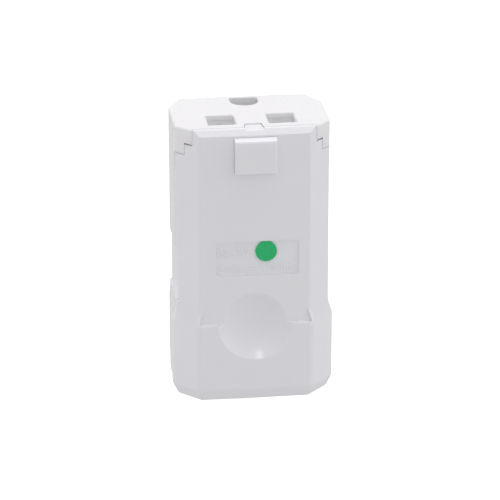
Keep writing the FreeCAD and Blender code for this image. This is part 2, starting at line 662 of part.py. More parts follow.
def terminal_pocket(x, width):
    """Pocket for a terminal, open to the front and to the wiring space."""
    return box(x - width / 2, x + width / 2, -FAR, TERMINAL_POCKET_BACK_Y,
               CARRIER_BOTTOM_Z - OVER, TERMINAL_POCKET_TOP_Z)


def blade_well(x):
    """Wide mouth, blade slot and clip chamber behind one opening."""
    mouth = blade_opening(x, POCKET_MARGIN, HEIGHT - POCKET_FLOOR_DEPTH, HEIGHT)
    half_x = BLADE_THICKNESS / 2 + SLOT_MARGIN
    half_y = BLADE_WIDTH / 2 + SLOT_MARGIN / 2
    slot = box(x - half_x, x + half_x, BLADE_Y - half_y, BLADE_Y + half_y,
               CLIP_CHAMBER_TOP_Z - OVER, HEIGHT - POCKET_FLOOR_DEPTH + OVER)
    half_x = CLIP_CHAMBER_WIDTH / 2
    half_y = BLADE_WIDTH / 2 + CLIP_CHAMBER_MARGIN
    chamber = box(x - half_x, x + half_x, BLADE_Y - half_y, BLADE_Y + half_y,
                  STRAP_BOTTOM_Z, CLIP_CHAMBER_TOP_Z)
    return mouth.fuse([slot, chamber])


def earth_well():
    """Mouth, round guide and sleeve chamber of the earth pin."""
    mouth = earth_opening(POCKET_MARGIN, HEIGHT - POCKET_FLOOR_DEPTH, HEIGHT)
    guide = rod_z(EARTH_PIN_RADIUS + SLEEVE_MARGIN, CLIP_CHAMBER_TOP_Z - OVER, HEIGHT,
                  0, EARTH_Y)
    chamber = rod_z(EARTH_PIN_RADIUS + SLEEVE_WALL + SLEEVE_MARGIN, STRAP_BOTTOM_Z,
                    CLIP_CHAMBER_TOP_Z, 0, EARTH_Y)
    half = EARTH_STRAP_HALF_WIDTH + EARTH_STRAP_ROOM
    strap = box(-half, half, PLATE_FRONT_Y - EARTH_STRAP_ROOM, EARTH_Y, STRAP_BOTTOM_Z,
                TERMINAL_POCKET_TOP_Z + OVER)
    return mouth.fuse([guide, chamber, strap])


def contact_carrier():
    """Insulating block with the wells of the contacts and terminal pockets."""
    split_y = PARTING_Y + PARTING_GAP
    front = column(-CARRIER_FRONT_INSET, CARRIER_BOTTOM_Z, CARRIER_TOP_Z).common(
        box(-FAR, FAR, -FAR, split_y, 0, HEIGHT))
    rear = column(-SHELL_WALL - CARRIER_SHELL_GAP, CARRIER_BOTTOM_Z, CARRIER_TOP_Z).common(
        box(-FAR, FAR, split_y, FAR, 0, HEIGHT))
    body = front.fuse(rear)
    half = HOOK_HALF_WIDTH + HOOK_SIDE_GAP
    hook_room = box(-half, half, -FAR, HOOK_BACK_Y + HOOK_ROOM, ARM_BOTTOM_Z - HOOK_ROOM,
                    HEIGHT)
    half = CATCH_HALF_WIDTH + FACE_GAP
    catch_room = box(-half, half, -FAR, CATCH_BACK_Y + FACE_GAP, CATCH_BOTTOM_Z - FACE_GAP,
                     HEIGHT)
    cuts = [hook_room, catch_room, earth_well(), terminal_pocket(0, EARTH_POCKET_WIDTH)]
    for side in (-1, 1):
        cuts.append(blade_well(side * BLADE_SPACING / 2))
        cuts.append(terminal_pocket(side * TERMINAL_X, TERMINAL_POCKET_WIDTH))
    return body.cut(cuts).removeSplitter()


def cross_recess(reach, x, top_y, z):
    """Crossed driver slots of a head."""
    half = RECESS_WIDTH / 2
    flat = box(x - reach, x + reach, top_y - OVER, top_y + RECESS_DEPTH, z - half, z + half)
    tall = box(x - half, x + half, top_y - OVER, top_y + RECESS_DEPTH, z - reach, z + reach)
    return flat.fuse(tall)


def cap_screw(x, z, seat_y, head, height, shank, end_y, reach):
    """Screw along Y whose round head bears on a plane from the front."""
    top_y = seat_y - height
    body = rod_y(head, top_y, seat_y, x, z).fuse(rod_y(shank, seat_y, end_y, x, z))
    return body.cut(cross_recess(reach, x, top_y, z)).removeSplitter()


def terminal_plate(x):
    """Flat plate of a contact that the wire is clamped against."""
    half = PLATE_WIDTH / 2
    back_y = PLATE_FRONT_Y + PLATE_THICKNESS
    plate = box(x - half, x + half, PLATE_FRONT_Y, back_y, PLATE_BOTTOM_Z, PLATE_TOP_Z)
    hole = rod_y(TERMINAL_SHANK_RADIUS + RUNNING_CLEARANCE, PLATE_FRONT_Y - OVER,
                 back_y + OVER, x, TERMINAL_Z)
    return plate.cut(hole)


def clip_leaf(y):
    """Section of the right-hand leaf of a blade clip, flared at its mouth."""
    inner = BLADE_THICKNESS / 2
    outer = inner + SHEET
    neck_z = CLIP_TOP_Z - LEAF_MOUTH_HEIGHT
    return [V(0, y, CLIP_BOTTOM_Z), V(outer, y, CLIP_BOTTOM_Z), V(outer, y, neck_z),
            V(outer + LEAF_FLARE, y, CLIP_TOP_Z), V(inner + LEAF_FLARE, y, CLIP_TOP_Z),
            V(inner, y, neck_z), V(inner, y, CLIP_BOTTOM_Z + SHEET),
            V(0, y, CLIP_BOTTOM_Z + SHEET)]


def blade_contact(side):
    """Spring clip for one blade, with its terminal plate."""
    leaf = slab(clip_leaf(BLADE_Y - BLADE_WIDTH / 2), V(0, BLADE_WIDTH, 0))
    clip = leaf.fuse(mirrored(leaf))
    clip.translate(V(side * BLADE_SPACING / 2, 0, 0))
    x0 = BLADE_SPACING / 2 - STRAP_IN
    strap = box(x0, x0 + STRAP_IN + STRAP_OUT, PLATE_FRONT_Y, PLATE_FRONT_Y + PLATE_THICKNESS,
                STRAP_BOTTOM_Z, CLIP_BOTTOM_Z + STRAP_OVERLAP)
    if side < 0:
        strap = mirrored(strap)
    return clip.fuse([strap, terminal_plate(side * TERMINAL_X)]).removeSplitter()


def earth_contact():
    """Open sleeve for the earth pin, with a strap to its terminal plate."""
    outer = rod_z(EARTH_PIN_RADIUS + SLEEVE_WALL, EARTH_STRAP_BOTTOM_Z, CLIP_TOP_Z, 0, EARTH_Y)
    inner = rod_z(EARTH_PIN_RADIUS, EARTH_STRAP_BOTTOM_Z + PLATE_THICKNESS,
                  CLIP_TOP_Z + OVER, 0, EARTH_Y)
    back_gap = box(-FAR, FAR, SLEEVE_BACK_GAP_Y, FAR, 0, HEIGHT)
    sleeve = outer.cut([inner, back_gap])
    half = SLEEVE_SLOT_WIDTH / 2
    for x in (-SLEEVE_SLOT_X, SLEEVE_SLOT_X):
        sleeve = sleeve.cut(box(x - half, x + half, 0, EARTH_Y, SLEEVE_SLOT_BOTTOM_Z, HEIGHT))
    strap = box(-EARTH_STRAP_HALF_WIDTH, EARTH_STRAP_HALF_WIDTH, PLATE_FRONT_Y, EARTH_Y,
                EARTH_STRAP_BOTTOM_Z, EARTH_STRAP_BOTTOM_Z + PLATE_THICKNESS)
    return sleeve.fuse([strap, terminal_plate(0)]).removeSplitter()


def terminal_screw(x):
    """Screw whose head bears on the terminal plate from the front."""
    seat_y = PLATE_FRONT_Y - HEAD_SEAT_GAP
    return cap_screw(x, TERMINAL_Z, seat_y, TERMINAL_HEAD_RADIUS, TERMINAL_HEAD_HEIGHT,
                     TERMINAL_SHANK_RADIUS, seat_y + TERMINAL_SCREW_LENGTH,
                     TERMINAL_RECESS_REACH)


def earth_screw():
    """Hexagonal head on the same shank, for the earth terminal."""
    seat_y = PLATE_FRONT_Y - HEAD_SEAT_GAP
    top_y = seat_y - TERMINAL_HEAD_HEIGHT
    radius = TERMINAL_HEAD_RADIUS + HEX_EXTRA_RADIUS
    corners = []
    for i in range(6):
        angle = math.radians(60 * i)
        corners.append(V(radius * math.cos(angle), top_y,
                         TERMINAL_Z + radius * math.sin(angle)))
    head = slab(corners, V(0, TERMINAL_HEAD_HEIGHT, 0))
    crown = Part.makeCone(radius - HEX_CROWN, radius - HEX_CROWN + TERMINAL_HEAD_HEIGHT,
                          TERMINAL_HEAD_HEIGHT, V(0, top_y, TERMINAL_Z), V(0, 1, 0))
    shank = rod_y(TERMINAL_SHANK_RADIUS, seat_y, seat_y + TERMINAL_SCREW_LENGTH, 0, TERMINAL_Z)
    half = RECESS_WIDTH / 2
    slot = box(-FAR, FAR, top_y - OVER, top_y + SLOT_DEPTH, TERMINAL_Z - half,
               TERMINAL_Z + half)
    return head.common(crown).fuse(shank).cut(slot).removeSplitter()


def nut_plate(x):
    """Threaded plate behind the terminal plate, drawn up by the screw."""
    front_y = PLATE_FRONT_Y + PLATE_THICKNESS + NUT_PLATE_GAP
    back_y = front_y + NUT_PLATE_THICKNESS
    half_x, half_z = NUT_PLATE_WIDTH / 2, NUT_PLATE_HEIGHT / 2
    plate = box(x - half_x, x + half_x, front_y, back_y, TERMINAL_Z - half_z,
                TERMINAL_Z + half_z)
    plate = plate.makeChamfer(NUT_PLATE_CORNER, edges_along_y(plate))
    cuts = [rod_y(TERMINAL_SHANK_RADIUS + RUNNING_CLEARANCE, front_y - OVER, back_y + OVER,
                  x, TERMINAL_Z)]
    groove = NUT_PLATE_GROOVE
    for i in (-2, -1, 1, 2):
        z = TERMINAL_Z + i * NUT_PLATE_GROOVE_PITCH
        cuts.append(slab([V(x - half_x - OVER, front_y, z - groove),
                          V(x - half_x - OVER, front_y + groove, z),
                          V(x - half_x - OVER, front_y, z + groove)],
                         V(NUT_PLATE_WIDTH + 2 * OVER, 0, 0)))
    return plate.cut(cuts).removeSplitter()


def cord_grommet():
    """Soft ring that lines the cord entry."""
    body = rod_z(GROMMET_HOLE_RADIUS, GROMMET_BOTTOM_Z, GROMMET_TOP_Z, 0, CORD_Y)
    flange = rod_z(GROMMET_FLANGE_RADIUS, FLOOR, GROMMET_TOP_Z, 0, CORD_Y)
    bore = rod_z(CORD_RADIUS, -OVER, GROMMET_TOP_Z + OVER, 0, CORD_Y)
    return body.fuse(flange).cut(bore).removeSplitter()


def trough():
    """Round trough along the cord, with a rib left standing across it."""
    radius = CLAMP_TROUGH_RADIUS
    cut = rod_z(radius, CLAMP_BOTTOM_Z - OVER, CLAMP_TOP_Z + OVER, 0, CORD_Y)
    z0, z1 = CLAMP_Z - CLAMP_RIB_WIDTH / 2, CLAMP_Z + CLAMP_RIB_WIDTH / 2
    rib = rod_z(radius + OVER, z0, z1, 0, CORD_Y)
    return cut.cut(rib.cut(rod_z(radius - CLAMP_RIB_RISE, z0, z1, 0, CORD_Y)))


def cord_saddle():
    """Fixed half of the cord clamp, seated on the back wall."""
    block = box(-SADDLE_HALF_WIDTH, SADDLE_HALF_WIDTH, SADDLE_FRONT_Y,
                HALF_DEPTH - SHELL_WALL - SADDLE_SEAT, CLAMP_BOTTOM_Z, CLAMP_TOP_Z)
    return block.cut(trough()).removeSplitter()


def clamp_bar():
    """Moving half of the cord clamp, drawn back by two screws."""
    half, corner = CLAMP_BAR_HALF_LENGTH, CLAMP_BAR_CORNER
    plan = [V(-half, CLAMP_BAR_FRONT_Y + corner, CLAMP_BOTTOM_Z),
            V(-half + corner, CLAMP_BAR_FRONT_Y, CLAMP_BOTTOM_Z),
            V(half - corner, CLAMP_BAR_FRONT_Y, CLAMP_BOTTOM_Z),
            V(half, CLAMP_BAR_FRONT_Y + corner, CLAMP_BOTTOM_Z),
            V(half, CLAMP_BAR_BACK_Y, CLAMP_BOTTOM_Z),
            V(-half, CLAMP_BAR_BACK_Y, CLAMP_BOTTOM_Z)]
    bar = slab(plan, V(0, 0, CLAMP_TOP_Z - CLAMP_BOTTOM_Z))
    horn = box(-CLAMP_HORN_HALF_WIDTH, CLAMP_HORN_HALF_WIDTH, CLAMP_BAR_BACK_Y,
               CLAMP_BAR_BACK_Y + CLAMP_HORN_RISE, CLAMP_BOTTOM_Z, CLAMP_TOP_Z)
    bore = rod_y(CLAMP_SHANK_RADIUS + RUNNING_CLEARANCE, -FAR, FAR, CLAMP_SCREW_X, CLAMP_Z)
    return bar.fuse(horn).cut([trough(), bore, mirrored(bore)]).removeSplitter()


def clamp_screw(side):
    """One screw of the cord clamp."""
    return cap_screw(side * CLAMP_SCREW_X, CLAMP_Z, CLAMP_BAR_FRONT_Y - HEAD_SEAT_GAP,
                     CLAMP_HEAD_RADIUS, CLAMP_HEAD_HEIGHT, CLAMP_SHANK_RADIUS,
                     CLAMP_SCREW_END_Y, CLAMP_RECESS_REACH)


def clamp_nuts():
    """Two square nuts held in the bosses of the rear shell."""
    half = CLAMP_NUT_SIDE / 2 - CLAMP_NUT_GAP
    nut = box(CLAMP_SCREW_X - half, CLAMP_SCREW_X + half, CLAMP_NUT_FRONT_Y + CLAMP_NUT_GAP,
              CLAMP_NUT_FRONT_Y + CLAMP_NUT_THICKNESS - CLAMP_NUT_GAP,
              CLAMP_Z - half, CLAMP_Z + half)
    nut = nut.cut(rod_y(CLAMP_SHANK_RADIUS + RUNNING_CLEARANCE, -FAR, FAR,
                        CLAMP_SCREW_X, CLAMP_Z))
    return Part.makeCompound([nut, mirrored(nut)])


def all_pieces():
    """Every piece of the connector by its name."""
    form = outer_form()
    return {
        "front_cover": front_cover(form),
        "rear_shell": rear_shell(form),
        "face_block": face_block(),
        "contact_carrier": contact_carrier(),
        "latch_tab": latch_tab(),
        "latch_pin": latch_pin(),
        "green_dot": green_dot(),
        "hinge_pins": hinge_pins(),
        "line_contact": blade_contact(-1),
        "neutral_contact": blade_contact(1),
        "ground_contact": earth_contact(),
        "line_screw": terminal_screw(-TERMINAL_X),
        "neutral_screw": terminal_screw(TERMINAL_X),
        "ground_screw": earth_screw(),
        "line_nut_plate": nut_plate(-TERMINAL_X),
        "neutral_nut_plate": nut_plate(TERMINAL_X),
        "ground_nut_plate": nut_plate(0),
        "cord_grommet": cord_grommet(),
        "cord_saddle": cord_saddle(),
        "clamp_bar": clamp_bar(),
        "clamp_screw_left": clamp_screw(-1),
        "clamp_screw_right": clamp_screw(1),
        "clamp_nuts": clamp_nuts(),
    }


os.makedirs("parts", exist_ok=True)
for name, shape in all_pieces().items():
    shape.exportStep("parts/" + name + ".step")
    print(name, "solids", len(shape.Solids), "volume", round(shape.Volume, 1),
          "valid", shape.isValid())
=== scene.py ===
"""A rewireable cord connector in white moulded nylon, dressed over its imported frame.

Every length is in metres. The cord end stands on z = 0, the face that takes the
plug looks up, and the hinged front cover looks along -Y.
"""
import json
import math

import bmesh
import bpy
from mathutils import Matrix, Vector
from mathutils.bvhtree import BVHTree
from mathutils.geometry import intersect_point_line


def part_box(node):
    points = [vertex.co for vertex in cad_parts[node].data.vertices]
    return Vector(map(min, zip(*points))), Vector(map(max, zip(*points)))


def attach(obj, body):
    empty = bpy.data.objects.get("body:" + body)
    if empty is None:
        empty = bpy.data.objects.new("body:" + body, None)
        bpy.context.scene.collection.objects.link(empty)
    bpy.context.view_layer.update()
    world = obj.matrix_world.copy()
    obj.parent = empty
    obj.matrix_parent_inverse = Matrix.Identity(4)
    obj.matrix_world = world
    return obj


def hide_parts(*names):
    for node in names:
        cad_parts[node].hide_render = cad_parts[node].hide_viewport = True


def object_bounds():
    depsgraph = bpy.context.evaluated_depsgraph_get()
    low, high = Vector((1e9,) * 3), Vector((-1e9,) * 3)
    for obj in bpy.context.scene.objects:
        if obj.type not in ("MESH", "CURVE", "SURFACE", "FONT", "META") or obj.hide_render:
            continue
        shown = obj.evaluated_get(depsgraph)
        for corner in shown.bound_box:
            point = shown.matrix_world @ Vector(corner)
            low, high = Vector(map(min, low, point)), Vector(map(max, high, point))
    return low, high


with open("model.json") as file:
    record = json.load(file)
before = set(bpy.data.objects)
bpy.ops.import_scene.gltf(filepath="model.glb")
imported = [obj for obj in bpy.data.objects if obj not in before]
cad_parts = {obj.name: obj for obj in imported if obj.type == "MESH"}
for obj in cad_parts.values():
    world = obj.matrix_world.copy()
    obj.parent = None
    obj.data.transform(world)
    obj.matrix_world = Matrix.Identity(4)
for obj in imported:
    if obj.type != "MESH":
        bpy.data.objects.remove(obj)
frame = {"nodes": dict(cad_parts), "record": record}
NODES = frame["nodes"]
FRAME_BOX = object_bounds()

bl_info = {
    "name": "Cord Connector",
    "version": (1, 0, 0),
    "blender": (4, 5, 0),
    "location": "View3D > Sidebar > Connector",
    "description": "Builds a rewireable cord connector over its frame",
    "category": "Add Mesh",
}

MM = 0.001
FAR = 1.0

# Clean copies of the solids: points that are one, faces that are one flat, and how near a
# point has to be to a place that is named below.
SAME_POINT = 0.002 * MM
SAME_FLAT = math.radians(0.8)
ON_PLACE = 0.01 * MM
ON_BALL = 0.03 * MM

# Edges: what counts as sharp, and how much of a face one rounding may take.
SHARP = math.radians(25)
OPEN_CORNER = math.radians(100)
STRAIGHT_ENOUGH = math.radians(154)
FACE_SHARE = 0.42
SHORTEST_RUN = 0.5 * MM
LEAST_ROUNDING = 0.04 * MM
ROUNDING_STEPS = 2

# Edges that lie within SEAM of another piece stay nearly sharp. Long roundings get a point
# at CORNER_REACH from each end.
SEAM = 0.4 * MM
SEAM_ROUNDING = 0.05 * MM
LONG_EDGE = 2.0 * MM
CORNER_REACH = 0.4 * MM

# Seams that are shown tighter than the frame's running clearance: where the ears stand
# beside the cover, and where the latch fills its window. The latch's place is its pin's Y
# and Z, and its ends swing round that pin.
SEAM_CLOSING = 0.06 * MM
SWING_CLOSING = 0.09 * MM
EAR_SEAMS_X = (13.0 * MM, 14.426 * MM)
EAR_FOOT_Z = 54.0 * MM
LATCH_HALF_WIDTH = 4.35 * MM
LATCH_AXIS = (-10.45 * MM, 51.9 * MM)
LATCH_SWING_RADIUS = 6.859 * MM

# Height just under the bevel along the cover's top.
UNDER_BEVEL_Z = 58.6 * MM

# The ball that the thumb scoop is cut with, and how near its points may stand to the rim.
SCOOP_CENTRE = Vector((0, -23.258, 17.5)) * MM
SCOOP_BALL = 13.608 * MM
RIM_CLEARANCE = 0.6 * MM

# Rating: words, left edge, foot, width and height of each row. The type is fattened by a
# share of its own size.
PANEL_FLOOR_Y = -11.0 * MM
TYPE_FATTENING = 0.012
TYPE_SAME_POINT = 0.0001
TYPE_CURVE_STEPS = 6
RATING = (("15A 125V", -8.1 * MM, 32.2 * MM, 7.0 * MM, 2.4 * MM),
          ("2 POLE 3 WIRE", -8.0 * MM, 28.8 * MM, 16.6 * MM, 1.7 * MM))

# Screws: height of a head, radius over the thread, steps in one turn of it. The depth of
# the thread and the places along its profile are shares of the pitch.
SCREW_HEAD = 1.8 * MM
SCREW_RADIUS = 1.5 * MM
UNDER_HEAD = 0.02 * MM
THREAD_STEPS = 20
THREAD_DEPTH = 0.6
THREAD_ROOT = (0.0, 0.9)
THREAD_CREST = (0.52, 0.38)
THREAD_OFFSET = 0.05
THREAD_OVERLAP = 0.05 * MM

# The paper lies just under the open cover, which comes to rest below the cord end.
PAPER_Z = -5 * MM
PAPER_REACH = 2.0

# Light of the room: the height either side of the horizon over which it changes.
HORIZON = 0.25

# Light panels: place, side and the setting that holds the power. The gloss panel only shows
# as a reflection.
PANELS = (("top panel", (0.08, 0.12, 0.75), 0.7, "top"),
          ("left panel", (-0.7, 0.3, 0.3), 0.6, "left"),
          ("right panel", (0.7, -0.15, 0.3), 0.6, "right"),
          ("gloss panel", (0.0, -0.75, 0.62), 0.12, "front"))

# Point that the camera looks at: its X, and how far it lies below the plug face.
AIM_X = 0.3 * MM
AIM_BELOW_FACE = 30.9 * MM
SENSOR_MM = 36


def linear(code):
    """sRGB hex colour as linear red, green, blue and alpha."""
    values = []
    for i in (0, 2, 4):
        part = int(code[i:i + 2], 16) / 255
        values.append(part / 12.92 if part <= 0.04045 else ((part + 0.055) / 1.055) ** 2.4)
    return (*values, 1.0)


class ConnectorColours(bpy.types.PropertyGroup):
    """Colours of the moulded and plated pieces."""

    housing: bpy.props.FloatVectorProperty(
        name="Housing", description="White nylon of the housing and the latch",
        subtype="COLOR", size=4, min=0, max=1, default=linear("F4F4F9"))
    face: bpy.props.FloatVectorProperty(
        name="Face", description="White nylon of the face, a slightly warmer batch",
        subtype="COLOR", size=4, min=0, max=1, default=linear("F6F4F7"))
    insulator: bpy.props.FloatVectorProperty(
        name="Insulator", description="Nylon of the inner block that holds the contacts",
        subtype="COLOR", size=4, min=0, max=1, default=linear("FBFBFC"))
    clamp: bpy.props.FloatVectorProperty(
        name="Clamp", description="Grey nylon of the cord clamp",
        subtype="COLOR", size=4, min=0, max=1, default=linear("C9CBCB"))
    dot: bpy.props.FloatVectorProperty(
        name="Dot", description="Green insert in the rating panel",
        subtype="COLOR", size=4, min=0, max=1, default=linear("08BE6E"))
    earth: bpy.props.FloatVectorProperty(
        name="Earth screw", description="Green dye on the plated earth screw",
        subtype="COLOR", size=4, min=0, max=1, default=linear("2F7D4C"))


class ConnectorSizes(bpy.types.PropertyGroup):
    """Sizes that belong to the finish and not to the frame."""

    edge: bpy.props.FloatProperty(
        name="Moulded edge", description="Width of the rounding on moulded edges",
        subtype="DISTANCE", unit="LENGTH", min=0.00005, max=0.0006, default=0.00022)
    metal_edge: bpy.props.FloatProperty(
        name="Metal edge", description="Width of the rounding on stamped and turned edges",
        subtype="DISTANCE", unit="LENGTH", min=0.00002, max=0.0003, default=0.00008)
    relief: bpy.props.FloatProperty(
        name="Letter relief", description="How far the rating stands out of its panel",
        subtype="DISTANCE", unit="LENGTH", min=0.00003, max=0.0003, default=0.0001)
    pitch: bpy.props.FloatProperty(
        name="Thread pitch", description="Travel of a screw in one turn",
        subtype="DISTANCE", unit="LENGTH", min=0.0003, max=0.0015, default=0.0008)


class ConnectorStudio(bpy.types.PropertyGroup):
    """Camera and lights."""

    turn: bpy.props.FloatProperty(
        name="Camera turn", description="Angle of the camera about the upright axis",
        subtype="ANGLE", default=math.radians(-7.24))
    rise: bpy.props.FloatProperty(
        name="Camera rise", description="Angle of the camera above the horizon",
        subtype="ANGLE", default=math.radians(20.75))
    distance: bpy.props.FloatProperty(
        name="Camera distance", description="From the camera to the point it looks at",
        subtype="DISTANCE", unit="LENGTH", min=0.1, max=5, default=0.7457)
    lens: bpy.props.FloatProperty(
        name="Focal length", description="Focal length in millimetres on a 36 mm sensor",
        min=20, max=1000, default=252)
    sky: bpy.props.FloatProperty(
        name="Room light", description="Strength of the even light of the white room",
        min=0, max=5, default=0.702)
    ground: bpy.props.FloatProperty(
        name="Light from below", description="Strength of the light that comes up off the table",
        min=0, max=5, default=0.612)
    top: bpy.props.FloatProperty(
        name="Top light", description="Power of the panel above, in watts",
        min=0, max=100, default=1.76)
    left: bpy.props.FloatProperty(
        name="Left light", description="Power of the panel on the left, in watts",
        min=0, max=100, default=0.85)
    right: bpy.props.FloatProperty(
        name="Right light", description="Power of the panel on the right, in watts",
        min=0, max=100, default=0.62)
    front: bpy.props.FloatProperty(
        name="Front light", description="Power of the panel above the camera that only shows "
        "as a reflection, in watts", min=0, max=100, default=0.6)
    paper: bpy.props.FloatProperty(
        name="Paper glow", description="How far the paper is lit past white, to hide its shadows",
        min=0, max=5, default=0.7)


def sizes():
    """The finish sizes of this scene."""
    return bpy.context.scene.connector_sizes


def colours():
    """The finish colours of this scene."""
    return bpy.context.scene.connector_colours


def studio():
    """The camera and light settings of this scene."""
    return bpy.context.scene.connector_studio


def add_node(tree, kind, inputs=None, **settings):
    """One shader node with its settings; an input is a value or another node's output."""
    node = tree.nodes.new(kind)
    for name, value in settings.items():
        setattr(node, name, value)
    for name, value in (inputs or {}).items():
        if isinstance(value, bpy.types.NodeSocket):
            tree.links.new(value, node.inputs[name])
        else:
            node.inputs[name].default_value = value
    return node


def new_material(name):
    """Empty node material with its shader and the Object coordinates."""
    material = bpy.data.materials.new(name)
    material.use_nodes = True
    tree = material.node_tree
    shader = tree.nodes["Principled BSDF"]
    place = add_node(tree, "ShaderNodeTexCoord").outputs["Object"]
    return material, tree, shader, place


def tinted(tree, colour, factor, low, high):
    """A colour whose brightness runs from low to high with a factor."""
    shade = add_node(tree, "ShaderNodeMapRange",
                     {"Value": factor, "To Min": low, "To Max": high})
    mixed = add_node(tree, "ShaderNodeVectorMath", {0: colour[:3], "Scale": shade.outputs[0]},
                     operation="SCALE")
    return mixed.outputs[0]


def moulded_nylon(name, colour, roughness, depth_share=0.15, texture_mm=0.3,
                  relief_mm=0.0015):
    """Nylon 66 from a spark-eroded mould: a satin skin with a fine even texture.

    The mould's texture breaks up reflections, and slow flow marks vary the tone. A share
    of the light goes a little way in; thin letters have none of it.
    """
    material, tree, shader, place = new_material(name)
    flow = add_node(tree, "ShaderNodeTexNoise",
                    {"Vector": place, "Scale": 1 / (9 * MM), "Detail": 2.0})
    grain = add_node(tree, "ShaderNodeTexNoise",
                     {"Vector": place, "Scale": 1 / (texture_mm * MM), "Detail": 3.0,
                      "Roughness": 0.6})
    tree.links.new(tinted(tree, colour, flow.outputs[0], 0.985, 1.01),
                   shader.inputs["Base Color"])
    gloss = add_node(tree, "ShaderNodeMapRange",
                     {"Value": grain.outputs[0], "To Min": roughness - 0.02,
                      "To Max": roughness + 0.02})
    tree.links.new(gloss.outputs[0], shader.inputs["Roughness"])
    bump = add_node(tree, "ShaderNodeBump", {"Height": grain.outputs[0], "Strength": 0.25,
                                             "Distance": relief_mm * MM})
    tree.links.new(bump.outputs[0], shader.inputs["Normal"])
    shader.inputs["IOR"].default_value = 1.53
    shader.inputs["Subsurface Weight"].default_value = depth_share
    shader.inputs["Subsurface Radius"].default_value = (1.0, 0.9, 0.8)
    shader.inputs["Subsurface Scale"].default_value = 1.2 * MM
    return material


def gloss_styrene(name, colour):
    """Styrene insert from a polished mould: smooth, with a faint orange peel."""
    material, tree, shader, place = new_material(name)
    peel = add_node(tree, "ShaderNodeTexNoise",
                    {"Vector": place, "Scale": 1 / (1.2 * MM), "Detail": 1.0})
    tree.links.new(tinted(tree, colour, peel.outputs[0], 0.96, 1.04),
                   shader.inputs["Base Color"])
    bump = add_node(tree, "ShaderNodeBump", {"Height": peel.outputs[0], "Strength": 0.15,
                                             "Distance": 0.01 * MM})
    tree.links.new(bump.outputs[0], shader.inputs["Normal"])
    shader.inputs["Roughness"].default_value = 0.35
    shader.inputs["IOR"].default_value = 1.59
    return material


def soft_rubber(name):
    """Black thermoplastic rubber: dull, with a dusty bloom and a coarse skin."""
    material, tree, shader, place = new_material(name)
    skin = add_node(tree, "ShaderNodeTexNoise",
                    {"Vector": place, "Scale": 1 / (0.5 * MM), "Detail": 4.0})
    tree.links.new(tinted(tree, linear("2B2B2C"), skin.outputs[0], 0.8, 1.25),
                   shader.inputs["Base Color"])
    bump = add_node(tree, "ShaderNodeBump", {"Height": skin.outputs[0], "Strength": 0.5,
                                             "Distance": 0.02 * MM})
    tree.links.new(bump.outputs[0], shader.inputs["Normal"])
    shader.inputs["Roughness"].default_value = 0.75
    shader.inputs["IOR"].default_value = 1.5
    return material


def rolled_metal(name, colour, roughness, line_mm=0.06, spread=0.06):
    """Sheet or wire metal: fine lines drawn along Z by the rolls or the die."""
    material, tree, shader, place = new_material(name)
    drawn = add_node(tree, "ShaderNodeMapping",
                     {"Vector": place, "Scale": (1 / (line_mm * MM), 1 / (line_mm * MM),
                                                 1 / (2.5 * MM))})
    lines = add_node(tree, "ShaderNodeTexNoise",
                     {"Vector": drawn.outputs[0], "Scale": 1.0, "Detail": 2.0})
    stain = add_node(tree, "ShaderNodeTexNoise",
                     {"Vector": place, "Scale": 1 / (3 * MM), "Detail": 3.0})
    tree.links.new(tinted(tree, colour, stain.outputs[0], 0.88, 1.08),
                   shader.inputs["Base Color"])
    gloss = add_node(tree, "ShaderNodeMapRange",
                     {"Value": lines.outputs[0], "To Min": roughness - spread,
                      "To Max": roughness + spread})
    tree.links.new(gloss.outputs[0], shader.inputs["Roughness"])
    bump = add_node(tree, "ShaderNodeBump", {"Height": lines.outputs[0], "Strength": 0.2,
                                             "Distance": 0.004 * MM})
    tree.links.new(bump.outputs[0], shader.inputs["Normal"])
    shader.inputs["Metallic"].default_value = 1.0
    return material


def studio_paper(name):
    """Seamless white paper, so bright that it burns out behind the object."""
    material, tree, shader, place = new_material(name)
    fibre = add_node(tree, "ShaderNodeTexNoise",
                     {"Vector": place, "Scale": 1 / (2 * MM), "Detail": 2.0})
    tree.links.new(tinted(tree, linear("FFFFFF"), fibre.outputs[0], 0.99, 1.0),
                   shader.inputs["Base Color"])
    shader.inputs["Roughness"].default_value = 0.9
    shader.inputs["Emission Color"].default_value = (1, 1, 1, 1)
    shader.inputs["Emission Strength"].default_value = studio().paper
    return material


FINISHES = {}


def finish(slot):
    """Material for a slot of the record, made once."""
    if slot not in FINISHES:
        tone = colours()
        makers = {
            "white_nylon": lambda: moulded_nylon("Housing moulded nylon", tone.housing, 0.24),
            "rating": lambda: moulded_nylon("Rating moulded nylon", tone.housing, 0.34, 0.0),
            "white_nylon_face": lambda: moulded_nylon("Face moulded nylon", tone.face, 0.28),
            "white_insulator": lambda: moulded_nylon("Insulator moulded nylon",
                                                     tone.insulator, 0.45),
            "grey_insulator": lambda: moulded_nylon("Clamp moulded nylon", tone.clamp, 0.45),
            "green_plastic": lambda: gloss_styrene("Dot moulded styrene", tone.dot),
            "brass": lambda: rolled_metal("Brass rolled sheet", linear("CDAE6A"), 0.3),
            "nickel_plate": lambda: rolled_metal("Nickel plated steel", linear("D9D7D0"), 0.24),
            "green_steel": lambda: rolled_metal("Green dyed zinc plate", tone.earth, 0.38),
            "steel": lambda: rolled_metal("Zinc plated steel", linear("C4C8CC"), 0.3),
            "black_rubber": lambda: soft_rubber("Grommet soft rubber"),
        }
        FINISHES[slot] = makers[slot]()
    return FINISHES[slot]


def record_slot(name):
    """Material slot that the record gives a node."""
    for part in frame["record"]["subparts"]:
        if part["node"] == name:
            return part["material_slot"]
    raise ValueError("no slot for " + name)


def body_holding(name):
    """Body that carries a node."""
    for body, nodes in frame["record"]["behaviour"]["bodies"].items():
        if name in nodes:
            return body
    raise ValueError("no body for " + name)


